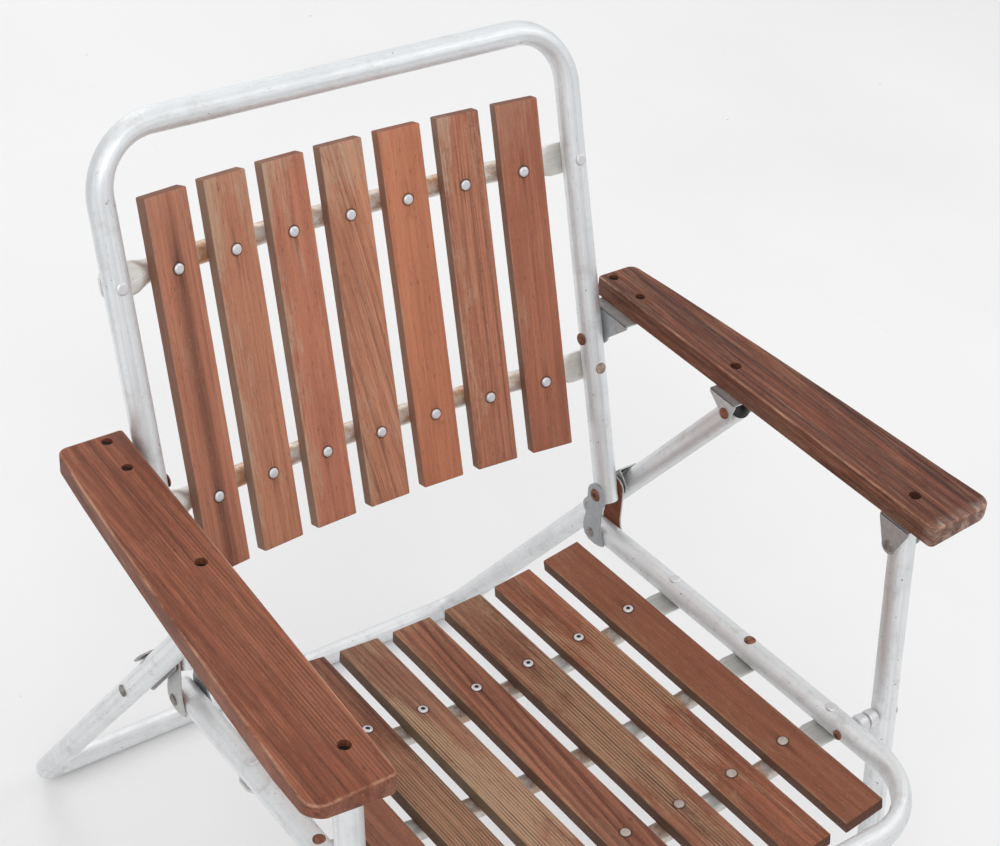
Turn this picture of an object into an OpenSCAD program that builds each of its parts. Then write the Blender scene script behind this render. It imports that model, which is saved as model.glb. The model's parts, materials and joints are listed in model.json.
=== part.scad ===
// Folding beach chair: bent aluminium tube frames with redwood slats and arms.
// Millimetres. X is the width, the front faces -Y, Z is up from the floor.
// The origin is on the floor, under the middle of the open chair's footprint.

/* [Tube] */
// Outside diameter of every bent frame tube
tube_d = 22.2; // [19:0.1:26]
// Wall of the frame tubes
tube_wall = 1.4; // [1:0.1:2]
// Outside diameter of the bowed cross rails
rail_d = 19; // [16:0.5:20]

/* [Posture] */
// Height of the back hinge above the floor
hinge_h = 389; // [370:1:400]
// Rise of the seat towards the front, in degrees
seat_slope = 6.6; // [5:0.1:8]
// Lean of the back from upright, in degrees
back_recline = 21.2; // [18:0.1:23]
// Rise of the arms towards the front, in degrees
arm_slope = 3.2; // [2:0.1:4]

/* [Frames] */
// Spacing of the side tubes of the seat and the back, centre to centre
frame_w = 450; // [440:1:460]
// Length of the seat frame from its hinge rivets to the front tube's centre
seat_len = 456; // [446:1:466]
// Bend radius of the seat frame's front corners, on the tube's centre
seat_bend = 74; // [66:1:80]
// Height of the back frame from its hinge to the top tube's centre
back_len = 450; // [440:1:460]
// Bend radius of the back frame's top corners
back_bend = 54; // [38:1:60]
// Spacing of the front leg tubes, centre to centre
front_leg_w = 538; // [538:1:542]
// Spacing of the rear leg tubes, centre to centre
rear_leg_w = 513; // [512:0.5:514]
// Bend radius of both leg frames at the floor
leg_bend = 30; // [28:1:40]

/* [Slats] */
// Width of a slat
slat_w = 41; // [38:1:44]
// Thickness of a slat
slat_t = 12.7; // [11:0.1:14]
// Spacing of the slats
slat_pitch = 58; // [56:0.5:60]
// Length of a back slat
back_slat_len = 329; // [320:1:335]
// Length of a seat slat
seat_slat_len = 419; // [410:1:424]
// How far the cross rails bow away from the sitter
rail_bow = 26; // [20:1:30]

/* [Arms] */
// Length of an arm
arm_len = 435; // [425:1:440]
// Thickness of an arm
arm_t = 19.7; // [18:0.1:21]
// Width of the right arm at its back end
arm_w_rear = 43; // [40:1:46]
// Width of the left arm at its back end, which tapers less
arm_w_rear_left = 58; // [43:1:60]
// Width of an arm at its front end
arm_w_front = 69; // [62:1:70]

/* [Link] */
// Length of the locking link between its two pivots
link_len = 65; // [64:0.5:66]

/* [Output] */
// Which node to draw

/* [Hidden] */
$fn = 48;
fine = 64;
tube_r = tube_d / 2;
rail_r = rail_d / 2;
half_w = frame_w / 2;
slats = 7;
sheet = 1.8;
// Clearances: between moving faces, between faces that only meet, and round a running pin
gap = 0.3;
seam = 0.1;
run_fit = 0.05;
// How far a cut reaches past a face
past = 1;

// Flattened rail ends: the tube's girth pressed into a flat tab
tab_t = 3.2;
tab_w = 29;
tab_lap = 8.5;
tab_out = 9;

// Pivot and fastener radii
pivot_r = 3;
head_r = 6;
head_h = 1.6;
crown = 0.62;
rail_rivet_r = 2.7;
rail_head = [5.5, 1.8];
rail_sink = 0.6;
slat_head_r = 4.5;
slat_shank_r = 2.4;
seat_head_h = 1.4;
back_head_h = 2;
spacer_r = 8;
washer_r = 7;

// Places along the seat frame, from its hinge rivets forward
hinge_fwd = 3.5;
hinge_up = 46;
seat_rails = [113, 219, 326];
seat_slat_rear = 7.5;
seat_end = -11;
leg_pivot_fwd = 347;

// Places along the back frame, from the hinge up
back_rails = [128.5, 328];
back_slat_low = 62;
back_end = -9;
arm_pivot_up = 158;

// Places on an arm, from its rear screw: forward and below the top face
arm_rear = -11;
arm_pivot = [14.2, 46];
rear_leg_pivot = [182.6, 34.5];
front_leg_pivot = [383.7, 44.8];
screws_rear = [-1, 37];
screw_mid = 167;
screw_front = 383;
arm_in_rear = 246.5;
arm_in_rear_left = 239.5;
arm_in_front = 253.5;
arm_corners = [3, 9, 5, 14];

// Screws in the arms: their line across the width, shank, sunk holes [radius, depth] and ends [radius, height]
screw_in = 257.5;
screw_splay = 0.037;
screw_r = 2.1;
screw_hole_r = 2.2;
sunk_rear = [4.6, 3];
sunk_mid = [5.2, 7];
screw_head = [4.4, 1.8];
screw_nut = [3.6, 1.6];

// Arm brackets and leg clevises: reach in front of and behind the pivot, and the round about it
bracket_ends = [33.8, -17.2];
bracket_r = 10;
bracket_shelf = 30;
rear_clevis_ends = [11, -22];
front_clevis_ends = [17, -16];
clevis_r = 8;

// Hinge plates, as rounds [y, z, radius] from the seat tube's centre
hinge_top = [[-3.5, 46, 12], [-3.5, 32, 10.5]];
hinge_neck_w = 19;
hinge_foot = [[-2, 10, 10], [2, 0, 9], [-14, -4, 6]];

// Hinge line and seat origin, in the side plane [y, z] with the hinge at y = 0
hinge0 = [0, hinge_h];
function turn(p, a) = [p[0] * cos(a) - p[1] * sin(a), p[0] * sin(a) + p[1] * cos(a)];
seat0 = hinge0 - turn([-hinge_fwd, hinge_up], -seat_slope);
pivot_arm0 = hinge0 + turn([0, arm_pivot_up], -back_recline);
arm0 = pivot_arm0 - turn([-arm_pivot[0], -arm_pivot[1]], -arm_slope);
pivot_rear0 = arm0 + turn([-rear_leg_pivot[0], -rear_leg_pivot[1]], -arm_slope);
pivot_front0 = arm0 + turn([-front_leg_pivot[0], -front_leg_pivot[1]], -arm_slope);
pivot_seat0 = seat0 + turn([-leg_pivot_fwd, 0], -seat_slope);

// Legs run through their pivots down to a floor tube that rests on the floor
front_rake = atan2(pivot_front0[0] - pivot_seat0[0], pivot_front0[1] - pivot_seat0[1]);
rear_rake = atan2(hinge0[0] - pivot_rear0[0], pivot_rear0[1] - hinge0[1]);
front_leg_len = (pivot_front0[1] - tube_r) / cos(front_rake);
rear_leg_len = (pivot_rear0[1] - tube_r) / cos(rear_rake);
front_foot_y = pivot_front0[0] - front_leg_len * sin(front_rake);
rear_foot_y = pivot_rear0[0] + rear_leg_len * sin(rear_rake);

// The origin is under the middle, between the seat's front tube and the rear floor tube
front_y = seat0[0] - seat_len * cos(seat_slope);
shift = -(front_y + rear_foot_y) / 2;
hinge = hinge0 + [shift, 0];
seat = seat0 + [shift, 0];
arm = arm0 + [shift, 0];
pivot_rear = pivot_rear0 + [shift, 0];
pivot_front = pivot_front0 + [shift, 0];
leg_pivot_drop = norm(pivot_front0 - pivot_seat0);
hinge_drop = norm(pivot_rear0 - hinge0);
link_drop = hinge_drop + link_len;

// Faces across the width, from the inside out
inner_face = half_w - tube_r;
outer_face = half_w + tube_r;
plate_in = inner_face - gap - sheet;
plate_out = outer_face + gap;
link_in = plate_out + sheet + 2;
link_t = 1.6;
front_in = front_leg_w / 2 - tube_r;
rear_in = rear_leg_w / 2 - tube_r;
rear_out = rear_leg_w / 2 + tube_r;

// Leg tops stop short of the arms
front_top = 12;
rear_top = 6;
plug_rise = 4;
plug_r = 12.6;
plug_in = 8;

// ---- Frames of reference: in each, -Y is forward and Z is away from the floor ----

module on_seat() {
  translate([0, seat[0], seat[1]]) rotate([-seat_slope, 0, 0]) children();
}

module on_back() {
  translate([0, hinge[0], hinge[1]]) rotate([-back_recline, 0, 0]) children();
}

module on_arm() {
  translate([0, arm[0], arm[1]]) rotate([-arm_slope, 0, 0]) children();
}

module on_front_leg() {
  translate([0, pivot_front[0], pivot_front[1]]) rotate([-front_rake, 0, 0]) children();
}

module on_rear_leg() {
  translate([0, pivot_rear[0], pivot_rear[1]]) rotate([rear_rake, 0, 0]) children();
}

module both_sides() {
  children();
  mirror([1, 0, 0]) children();
}

// ---- Shared shapes ----

// A rod along X from x0 to x1 through [y, z]
module rod_x(x0, x1, y, z, r) {
  translate([x0, y, z]) rotate([0, 90, 0]) cylinder(r = r, h = x1 - x0);
}

// Half of a U in the XZ plane: down from z = top to a tube at z = -drop
module half_u(w, top, drop, bend, r) {
  translate([w / 2, 0, bend - drop]) cylinder(r = r, h = top + drop - bend);
  translate([w / 2 - bend, 0, bend - drop]) rotate([-90, 0, 0])
    rotate_extrude(angle = 90, $fn = fine) translate([bend, 0]) circle(r);
  rod_x(0, w / 2 - bend, 0, -drop, r);
}

// A bent tube: open ends at z = top, floor tube at z = -drop
module bent_tube(w, top, drop, bend) {
  difference() {
    both_sides() half_u(w, top, drop, bend, tube_r);
    both_sides() half_u(w, top + past, drop, bend, tube_r - tube_wall);
  }
}

// A rivet along X: its shank from x0 to x1, and a flat dome over each end that is asked for
module rivet_x(x0, x1, y, z, r, head_in = true, head_out = true) {
  rod_x(x0, x1, y, z, r);
  if (head_out) translate([x1, y, z]) rotate([0, 90, 0]) dome(head_r, head_h);
  if (head_in) translate([x0, y, z]) rotate([0, -90, 0]) dome(head_r, head_h);
}

// A low round head on the XY plane
module dome(r, h) {
  cylinder(r1 = r, r2 = r * crown, h = h);
}

// ---- Wood ----

function slat_x(i) = (i - (slats + 1) / 2) * slat_pitch;
function bow_at(x) = rail_bow * (1 - pow(x / half_w, 2));
function slat_tilt(x) = atan(2 * rail_bow * x / pow(half_w, 2));
rail_seat = tube_r + tab_t / 2;

// Puts a slat's own frame on the bowed rails: local Z is towards the sitter
module at_slat(i) {
  x = slat_x(i);
  translate([x, 0, -rail_seat - bow_at(x)]) rotate([0, -slat_tilt(x), 0]) children();
}

// One slat with two bored rivet holes, lying along Y
module slat(len, holes) {
  difference() {
    translate([-slat_w / 2, -len, rail_r + seam]) cube([slat_w, len, slat_t]);
    for (h = holes) translate([0, h, 0])
      cylinder(r = slat_shank_r + run_fit, h = rail_r + slat_t + past);
  }
}

module seat_slat(i) {
  color([0.5, 0.26, 0.18]) on_seat() translate([0, -seat_slat_rear, 0]) at_slat(i)
    slat(seat_slat_len, [seat_slat_rear - seat_rails[0], seat_slat_rear - seat_rails[2]]);
}

// The back's slats use the same frame stood up: local Y runs up the back
module stand_up() {
  rotate([90, 0, 0]) children();
}

module back_slat(i) {
  top = back_slat_low + back_slat_len;
  color([0.55, 0.29, 0.2]) on_back() translate([0, 0, top]) stand_up() at_slat(i)
    slat(back_slat_len, [back_rails[0] - top, back_rails[1] - top]);
}

module slat_rivet(h) {
  top = rail_r + slat_t + seam;
  translate([0, 0, -rail_r - h / 2]) cylinder(r = slat_shank_r, h = top + rail_r + h);
  translate([0, 0, top]) dome(slat_head_r, h);
  translate([0, 0, -rail_r]) mirror([0, 0, 1]) dome(slat_head_r, h);
}

module seat_rivets(place, h) {
  color([0.75, 0.75, 0.76]) for (i = [1 : slats])
    on_seat() translate([0, -place, 0]) at_slat(i) slat_rivet(h);
}

module seat_rivets_rear() {
  seat_rivets(seat_rails[0], seat_head_h);
}

module seat_rivets_front() {
  seat_rivets(seat_rails[2], seat_head_h);
}

module back_rivets() {
  color([0.8, 0.8, 0.82]) for (s = back_rails) for (i = [1 : slats])
    on_back() translate([0, 0, s]) stand_up() at_slat(i) slat_rivet(back_head_h);
}

// ---- Cross rails ----

rail_end = half_w - 16;
tab_low = -rail_seat - tab_t / 2 - seam;
rail_sag = bow_at(rail_end);
// Radius of the arc that gives the bow between the flattened ends
bow_r = (pow(rail_end, 2) + pow(rail_bow - rail_sag, 2)) / (2 * (rail_bow - rail_sag));
bow_angle = asin(rail_end / bow_r);

// A bowed tube with a flat tab at each end, lying along X under z = 0
module rail(slat_holes) {
  difference() {
    union() {
      translate([0, 0, bow_r - rail_seat - rail_bow]) rotate([90, 0, 0])
        rotate([0, 0, -90 - bow_angle]) rotate_extrude(angle = 2 * bow_angle, $fn = 160)
        translate([bow_r, 0]) difference() {
          circle(rail_r);
          circle(rail_r - tube_wall);
        }
      both_sides() translate([rail_end - tab_lap, -tab_w / 2, tab_low])
        cube([half_w + tab_out - rail_end + tab_lap, tab_w, tab_t]);
    }
    both_sides() translate([half_w, 0, tab_low - past])
      cylinder(r = rail_rivet_r + run_fit, h = tab_t + 2 * past);
    if (slat_holes) for (i = [1 : slats]) at_slat(i)
      translate([0, 0, -rail_d]) cylinder(r = slat_shank_r + run_fit, h = 2 * rail_d);
  }
}

module seat_rail(k) {
  color([0.72, 0.7, 0.67]) on_seat() translate([0, -seat_rails[k], 0]) rail(k != 1);
}

module seat_rail_rear() {
  seat_rail(0);
}

module seat_rail_middle() {
  seat_rail(1);
}

module seat_rail_front() {
  seat_rail(2);
}

module back_rail(k) {
  color([0.72, 0.68, 0.6]) on_back() translate([0, 0, back_rails[k]]) stand_up() rail(true);
}

module back_rail_lower() {
  back_rail(0);
}

module back_rail_upper() {
  back_rail(1);
}

module rail_rivet() {
  translate([half_w, 0, tab_low]) {
    cylinder(r = rail_rivet_r, h = tube_r + rail_head[1] / 2 - tab_low);
    mirror([0, 0, 1]) dome(head_r, head_h);
  }
  translate([half_w, 0, tube_r - rail_sink]) dome(rail_head[0], rail_head[1]);
}

module seat_rail_rivets() {
  color([0.6, 0.52, 0.47]) on_seat() for (t = seat_rails) translate([0, -t, 0])
    both_sides() rail_rivet();
}

module back_rail_rivets() {
  color([0.7, 0.7, 0.71]) on_back() for (s = back_rails) translate([0, 0, s]) stand_up()
    both_sides() rail_rivet();
}

// ---- Tube frames ----

module rail_bores(places) {
  for (t = places) both_sides() translate([half_w, t, -tube_r - past])
    cylinder(r = rail_rivet_r + run_fit, h = tube_d + 2 * past);
  for (t = places) both_sides() translate([half_w, t, tube_r - rail_sink])
    cylinder(r = head_r, h = rail_sink + past);
}

// Bores along X through both side tubes of a frame that is w wide
module cross_bore(w, y, z) {
  both_sides() rod_x(w / 2 - tube_d, w / 2 + tube_d, y, z, pivot_r + run_fit);
}

// The seat frame: its open ends are at the back
module seat_frame() {
  color([0.78, 0.78, 0.79]) on_seat() difference() {
    rotate([-90, 0, 0]) bent_tube(frame_w, -seat_end, seat_len, seat_bend);
    rail_bores([for (t = seat_rails) -t]);
    cross_bore(frame_w, 0, 0);
    cross_bore(frame_w, -leg_pivot_fwd, 0);
  }
}

module back_frame() {
  color([0.8, 0.8, 0.81]) on_back() difference() {
    mirror([0, 0, 1]) bent_tube(frame_w, -back_end, back_len, back_bend);
    stand_up() rail_bores(back_rails);
    cross_bore(frame_w, 0, 0);
    cross_bore(frame_w, 0, arm_pivot_up);
  }
}

module front_leg_frame() {
  color([0.78, 0.78, 0.79]) on_front_leg() difference() {
    bent_tube(front_leg_w, front_top, front_leg_len, leg_bend);
    cross_bore(front_leg_w, 0, 0);
    cross_bore(front_leg_w, 0, -leg_pivot_drop);
  }
}

module rear_leg_frame() {
  color([0.77, 0.77, 0.78]) on_rear_leg() difference() {
    bent_tube(rear_leg_w, rear_top, rear_leg_len, leg_bend);
    cross_bore(rear_leg_w, 0, 0);
    cross_bore(rear_leg_w, 0, -link_drop);
  }
}

// A rounded plastic plug in a leg's top, within reach r of the pivot
module leg_plug(w, top, r) {
  difference() {
    translate([w / 2, 0, top - plug_in]) cylinder(r = tube_r - tube_wall - run_fit, h = plug_in);
    rod_x(w / 2 - tube_r, w / 2 + tube_r, 0, 0, pivot_r + gap);
  }
  intersection() {
    translate([w / 2, 0, 0]) sphere(r, $fn = fine);
    translate([w / 2, 0, top]) cylinder(r = tube_r, h = r);
  }
}

module front_leg_plugs() {
  color([0.06, 0.06, 0.06]) on_front_leg() both_sides()
    leg_plug(front_leg_w, front_top, front_top + plug_rise);
}

module rear_leg_plugs() {
  color([0.06, 0.06, 0.06]) on_rear_leg() both_sides()
    leg_plug(rear_leg_w, rear_top, plug_r);
}

// ---- Hinges ----

// Outline of a hinge plate in the side plane: Y across, Z up from the seat tube's centre
module hinge_outline() {
  hull() for (c = hinge_top) translate([c[0], c[1]]) circle(c[2]);
  translate([-hinge_fwd - hinge_neck_w / 2, hinge_foot[0][1]])
    square([hinge_neck_w, hinge_top[1][1] - hinge_foot[0][1]]);
  hull() for (c = hinge_foot) translate([c[0], c[1]]) circle(c[2]);
}

module hinge_plate(x) {
  on_seat() difference() {
    translate([x, 0, 0]) rotate([90, 0, 90]) linear_extrude(sheet) hinge_outline();
    rod_x(x - past, x + sheet + past, -hinge_fwd, hinge_up, pivot_r + run_fit);
    rod_x(x - past, x + sheet + past, 0, 0, pivot_r + run_fit);
  }
}

module hinge_inner_right() {
  color([0.58, 0.58, 0.57]) hinge_plate(plate_in);
}

module hinge_inner_left() {
  mirror([1, 0, 0]) hinge_inner_right();
}

module hinge_outer_right() {
  color([0.5, 0.45, 0.42]) hinge_plate(plate_out);
}

module hinge_outer_left() {
  mirror([1, 0, 0]) hinge_outer_right();
}

module hinge_rivets() {
  color([0.4, 0.28, 0.22]) on_seat() both_sides()
    rivet_x(plate_in, plate_out + sheet, 0, 0, pivot_r);
}

module back_pivots() {
  color([0.42, 0.26, 0.18]) on_seat() both_sides()
    rivet_x(plate_in, plate_out + sheet, -hinge_fwd, hinge_up, pivot_r, true, false);
}

// Spacer tubes between the seat and the front legs, each with its rivet's inner end
module leg_spacers() {
  color([0.66, 0.66, 0.66]) on_seat() both_sides() {
    rivet_x(inner_face, front_in - gap, -leg_pivot_fwd, 0, pivot_r, true, false);
    rod_x(outer_face + seam, front_in - gap, -leg_pivot_fwd, 0, spacer_r);
  }
}

module front_leg_rivets() {
  color([0.66, 0.66, 0.66]) on_front_leg() both_sides()
    rivet_x(front_in + 2 * seam, front_in + tube_d, 0, -leg_pivot_drop, pivot_r, false, true);
}

// ---- Locking links ----

link_reach = 11;
link_flange_w = 27;
link_flange_back = 13;
link_ends = [9, 10];
link_top = tube_r + 0.5;
link_low = -hinge_drop - link_reach;
link_high = link_flange_back - hinge_drop;

// The web lies inside the rear leg; a tongue at the hinge end rests on the leg's top
module link_shape() {
  difference() {
    union() {
      translate([link_in, 0, 0]) rotate([90, 0, 90]) linear_extrude(link_t) {
        hull() {
          translate([0, -link_drop]) circle(link_ends[1]);
          translate([1, -hinge_drop]) circle(link_ends[0]);
        }
        translate([0, link_low]) square([link_top + link_t, link_high - link_low]);
      }
      translate([link_in, link_top, link_low])
        cube([link_flange_w, link_t, link_high - link_low]);
    }
    rod_x(link_in - past, rear_in, 0, -link_drop, pivot_r + run_fit);
    rod_x(link_in - past, rear_in, 0, -hinge_drop, pivot_r + run_fit);
  }
}

module link_right() {
  color([0.5, 0.5, 0.49]) on_rear_leg() link_shape();
}

module link_left() {
  mirror([1, 0, 0]) link_right();
}

// The outer ends of the hinge rivets, which the links turn with
module link_heads() {
  color([0.45, 0.4, 0.37]) on_rear_leg() both_sides()
    rivet_x(link_in, link_in + link_t, 0, -hinge_drop, pivot_r, false, true);
}

// Each rivet goes through the link, a spacer and the rear leg
module link_rivets() {
  color([0.5, 0.42, 0.36]) on_rear_leg() both_sides() {
    rivet_x(link_in - seam, rear_out, 0, -link_drop, pivot_r);
    rod_x(link_in + link_t + gap, rear_in - seam, 0, -link_drop, washer_r);
  }
}

// ---- Arms ----

// An arm seen from above: X across, Y back, from its inner edge and width at the rear
module arm_outline(in_rear, w_rear) {
  front = arm_rear + arm_len;
  r = arm_corners;
  hull() {
    translate([in_rear + r[0], -arm_rear - r[0]]) circle(r[0]);
    translate([in_rear + w_rear - r[1], -arm_rear - r[1]]) circle(r[1]);
    translate([arm_in_front + r[2], -front + r[2]]) circle(r[2]);
    translate([arm_in_front + arm_w_front - r[3], -front + r[3]]) circle(r[3]);
  }
}

// Screw holes run on a line that spreads outwards to the front
function screw_x(t) = screw_in + screw_splay * t;

module sunk_hole(t, sunk) {
  translate([screw_x(t), -t, -arm_t - past]) cylinder(r = screw_hole_r, h = arm_t + past);
  translate([screw_x(t), -t, -sunk[1]]) cylinder(r = sunk[0], h = sunk[1] + past);
}

module arm_board(in_rear, w_rear) {
  color([0.45, 0.22, 0.15]) on_arm() difference() {
    translate([0, 0, -arm_t]) linear_extrude(arm_t) arm_outline(in_rear, w_rear);
    for (t = screws_rear) sunk_hole(t, sunk_rear);
    for (t = [screw_mid, screw_front]) sunk_hole(t, sunk_mid);
  }
}

module arm_right() {
  arm_board(arm_in_rear, arm_w_rear);
}

module arm_left() {
  mirror([1, 0, 0]) arm_board(arm_in_rear_left, arm_w_rear_left);
}

// A screw whose head lies on the floor of its sunk hole, with a riveted end under the bracket
module arm_screw(t, sunk) {
  low = -arm_t - seam - sheet;
  head_low = -sunk[1];
  translate([screw_x(t), -t, low - screw_nut[1]])
    cylinder(r = screw_r, h = head_low - low + screw_nut[1] + screw_head[1]);
  translate([screw_x(t), -t, head_low]) cylinder(r = screw_head[0], h = screw_head[1]);
  translate([screw_x(t), -t, low - screw_nut[1]]) cylinder(r = screw_nut[0], h = screw_nut[1]);
}

module arm_screws() {
  color([0.3, 0.2, 0.16]) on_arm() both_sides() {
    for (t = screws_rear) arm_screw(t, sunk_rear);
    for (t = [screw_mid, screw_front]) arm_screw(t, sunk_mid);
  }
}

// Side view of a bracket cheek: wide under the arm, round about its pivot
module cheek(pivot, ends, r) {
  hull() {
    translate([-pivot[0], -pivot[1]]) circle(r);
    translate([-pivot[0] - ends[0], shelf_low]) square([ends[0] - ends[1], sheet]);
  }
}

// A folded plate across X at x, and the shelf under the arm
module cheek_plate(x, pivot, ends, r) {
  translate([x, 0, 0]) rotate([90, 0, 90]) linear_extrude(sheet) cheek(pivot, ends, r);
}

shelf_low = -arm_t - seam - sheet;
cheek_in = outer_face + 0.8;

module arm_bracket_right() {
  color([0.55, 0.55, 0.54]) on_arm() difference() {
    union() {
      cheek_plate(cheek_in, arm_pivot, bracket_ends, bracket_r);
      translate([cheek_in, -arm_pivot[0] - bracket_ends[0], shelf_low])
        cube([bracket_shelf, bracket_ends[0] - bracket_ends[1], sheet]);
    }
    rod_x(cheek_in - past, cheek_in + sheet + past, -arm_pivot[0], -arm_pivot[1], pivot_r + run_fit);
    for (t = screws_rear) shelf_hole(t);
  }
}

module arm_bracket_left() {
  mirror([1, 0, 0]) arm_bracket_right();
}

module shelf_hole(t) {
  translate([screw_x(t), -t, shelf_low - past]) cylinder(r = screw_hole_r, h = sheet + 2 * past);
}

// A folded sheet clevis under the arm that straddles a leg's top
module clevis(w, pivot, ends, screw) {
  inside = w / 2 - tube_r - gap - sheet;
  outside = w / 2 + tube_r + gap;
  difference() {
    union() {
      for (x = [inside, outside]) cheek_plate(x, pivot, ends, clevis_r);
      translate([inside, -pivot[0] - ends[0], shelf_low])
        cube([outside + sheet - inside, ends[0] - ends[1], sheet]);
    }
    rod_x(inside - past, outside + sheet + past, -pivot[0], -pivot[1], pivot_r + run_fit);
    shelf_hole(screw);
    // The screw's end clears the cheeks
    translate([screw_x(screw), -screw, shelf_low - screw_nut[1] - past])
      cylinder(r = screw_nut[0] + 2 * seam, h = screw_nut[1] + past);
  }
}

module rear_clevis_right() {
  color([0.56, 0.56, 0.55]) on_arm()
    clevis(rear_leg_w, rear_leg_pivot, rear_clevis_ends, screw_mid);
}

module rear_clevis_left() {
  mirror([1, 0, 0]) rear_clevis_right();
}

module front_clevis_right() {
  color([0.56, 0.56, 0.55]) on_arm()
    clevis(front_leg_w, front_leg_pivot, front_clevis_ends, screw_front);
}

module front_clevis_left() {
  mirror([1, 0, 0]) front_clevis_right();
}

module arm_pivots() {
  color([0.42, 0.28, 0.22]) on_arm() both_sides()
    rivet_x(inner_face - gap, cheek_in + sheet, -arm_pivot[0], -arm_pivot[1], pivot_r);
}

module clevis_pivots(w, pivot) {
  color([0.45, 0.33, 0.28]) on_arm() both_sides()
    rivet_x(w / 2 - tube_r - gap - sheet, w / 2 + tube_r + gap + sheet, -pivot[0], -pivot[1], pivot_r);
}

module rear_leg_pivots() {
  clevis_pivots(rear_leg_w, rear_leg_pivot);
}

module front_leg_pivots() {
  clevis_pivots(front_leg_w, front_leg_pivot);
}

// ---- Output ----

seat_frame();
seat_rail_rear();
seat_rail_middle();
seat_rail_front();
seat_slat(1);  // seat_slat_1
seat_slat(2);  // seat_slat_2
seat_slat(3);  // seat_slat_3
seat_slat(4);  // seat_slat_4
seat_slat(5);  // seat_slat_5
seat_slat(6);  // seat_slat_6
seat_slat(7);  // seat_slat_7
seat_rivets_rear();
seat_rivets_front();
seat_rail_rivets();
hinge_inner_left();
hinge_inner_right();
hinge_outer_left();
hinge_outer_right();
hinge_rivets();
back_pivots();
leg_spacers();
back_frame();
back_rail_lower();
back_rail_upper();
back_slat(1);  // back_slat_1
back_slat(2);  // back_slat_2
back_slat(3);  // back_slat_3
back_slat(4);  // back_slat_4
back_slat(5);  // back_slat_5
back_slat(6);  // back_slat_6
back_slat(7);  // back_slat_7
back_rivets();
back_rail_rivets();
arm_left();
arm_right();
arm_bracket_left();
arm_bracket_right();
rear_clevis_left();
rear_clevis_right();
front_clevis_left();
front_clevis_right();
arm_screws();
arm_pivots();
rear_leg_pivots();
front_leg_pivots();
front_leg_frame();
front_leg_plugs();
front_leg_rivets();
rear_leg_frame();
rear_leg_plugs();
link_left();
link_right();
link_heads();
link_rivets();
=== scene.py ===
"""A folding beach chair on a pale studio floor: bent aluminium tube, redwood slats and arms.

Lengths are in metres. Each piece is built in the frame of the part it belongs to: X across the chair, Y to
the back and Z up, tilted as that part is. Pairs are made on the right, where X is positive, and mirrored.
"""

import json
import math

import bpy
from mathutils import Matrix, Vector, noise
from mathutils.geometry import tessellate_polygon


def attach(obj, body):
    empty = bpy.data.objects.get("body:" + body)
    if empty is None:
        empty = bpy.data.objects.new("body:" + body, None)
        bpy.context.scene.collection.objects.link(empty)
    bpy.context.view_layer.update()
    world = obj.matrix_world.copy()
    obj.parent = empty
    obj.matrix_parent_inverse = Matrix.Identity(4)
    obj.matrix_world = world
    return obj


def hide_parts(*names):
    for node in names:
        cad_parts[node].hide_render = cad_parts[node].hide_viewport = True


MM = 0.001
SEAT_SLOPE = math.radians(6.6)
RECLINE = math.radians(21.2)
ARM_SLOPE = math.radians(3.2)

TUBE_R = 11.1 * MM
HALF_W = 225 * MM
FRONT_W, FRONT_TOP = 538 * MM, 12 * MM
REAR_W, REAR_TOP = 513 * MM, 6 * MM
RAIL_R = 9.5 * MM
RAIL_SEAT = 12.7 * MM
BOW = 26 * MM
SLATS = 7
PITCH = 58 * MM
SLAT_W = 41 * MM
SLAT_T = 12.7 * MM
SEAT_SLAT_L, SEAT_SLAT_START = 419 * MM, 7.5 * MM
BACK_SLAT_L, BACK_SLAT_TOP = 329 * MM, 391 * MM
GAP = 0.1 * MM
SHEET = 1.8 * MM
LINK_SHEET = 1.6 * MM
ARM_T = 19.7 * MM
ARM_EDGE_STEPS = 4
CREASE = math.radians(38)
# Half the width over which the rails are browned: partly stain, partly the slats' painted reflection
STAIN_AND_REFLECTION_W = 190 * MM

# Rails by their distance forward of the seat's hinge and up the back
SEAT_STEPS = {"rear": 113 * MM, "middle": 219 * MM, "front": 326 * MM}
BACK_STEPS = {"lower": 128.5 * MM, "upper": 328 * MM}

# Pivots as (Y, Z) in the frame of the seat or of the arms
BACK_PIVOT = (-3.5 * MM, 46 * MM)
LEG_PIVOT = (-347 * MM, 0)
ARM_PIVOT = (-14.2 * MM, -46 * MM)
REAR_CLEVIS = (-182.6 * MM, -34.5 * MM)
FRONT_CLEVIS = (-383.7 * MM, -44.8 * MM)

# Where the rivets along X begin and end
SEAT_TUBE_OUT, SPACER_L = 236.2 * MM, 21.4 * MM
HINGE_X = (212.1 * MM, 238.2 * MM)
ARM_PIVOT_X = (213.6 * MM, 238.7 * MM)
REAR_CLEVIS_X = (243.3 * MM, 269.7 * MM)
FRONT_CLEVIS_X = (252.4 * MM, 282.2 * MM)
LEG_X = (258.1 * MM, 280.1 * MM)
LINK_X = (240.2 * MM, 240.2 * MM + LINK_SHEET)
LINK_LEG_X = (240.1 * MM, 267.6 * MM)
LEG_PIVOT_X = (213.9 * MM, SEAT_TUBE_OUT + SPACER_L)

# An arm's screws: how far each is in front of the arm's origin, and its hole's radius
SCREWS = ((-1 * MM, 4.6 * MM), (37 * MM, 4.6 * MM), (167 * MM, 5.2 * MM), (383 * MM, 5.2 * MM))

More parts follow.
